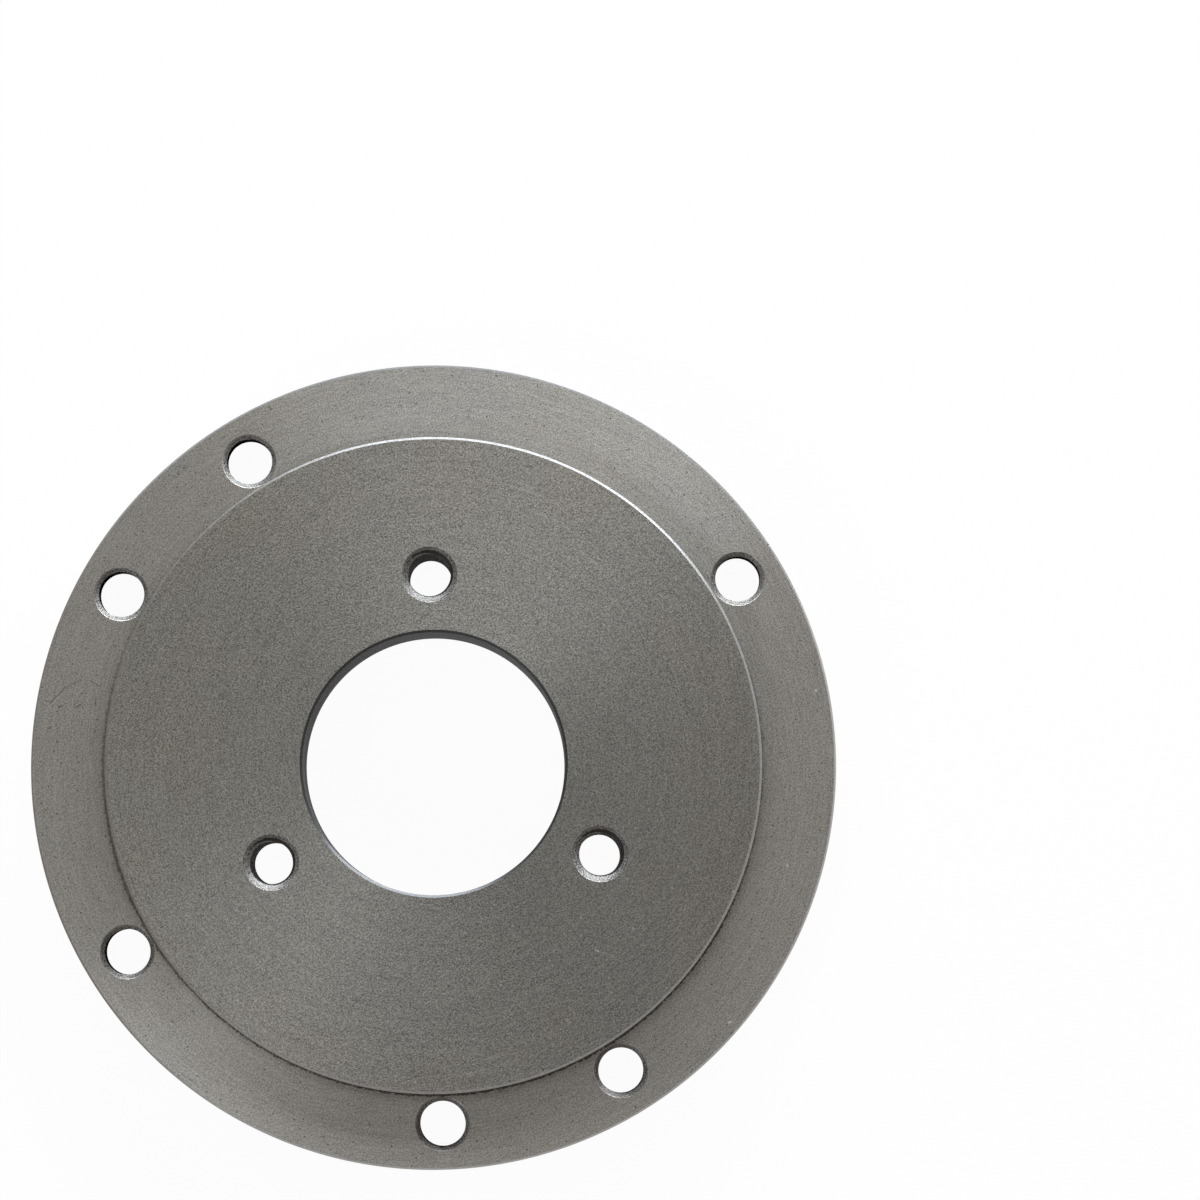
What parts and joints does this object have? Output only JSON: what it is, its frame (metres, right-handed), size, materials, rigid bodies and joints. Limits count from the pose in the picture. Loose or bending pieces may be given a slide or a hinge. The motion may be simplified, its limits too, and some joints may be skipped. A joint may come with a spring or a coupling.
{
  "type": "chuck adapter plate",
  "caption": "Flat round machined plate with a raised centring register, a through bore, bolt holes counterbored from behind and an inner circle of tapped holes.",
  "frame": {"origin": "centre of the flat back face, on the axis of the bore", "axes": "+Z along the bore axis, from the back face towards the register and the chuck; +X runs through the bolt hole that the three-jaw and the four-jaw pattern share"},
  "size_m": [0.16, 0.16, 0.018],
  "materials": {
    "turned_metal": "fine-turned satin grey, bare metal"
  },
  "bodies": {
    "root": {"adapter_plate": "turned_metal"}
  },
  "joints": []
}
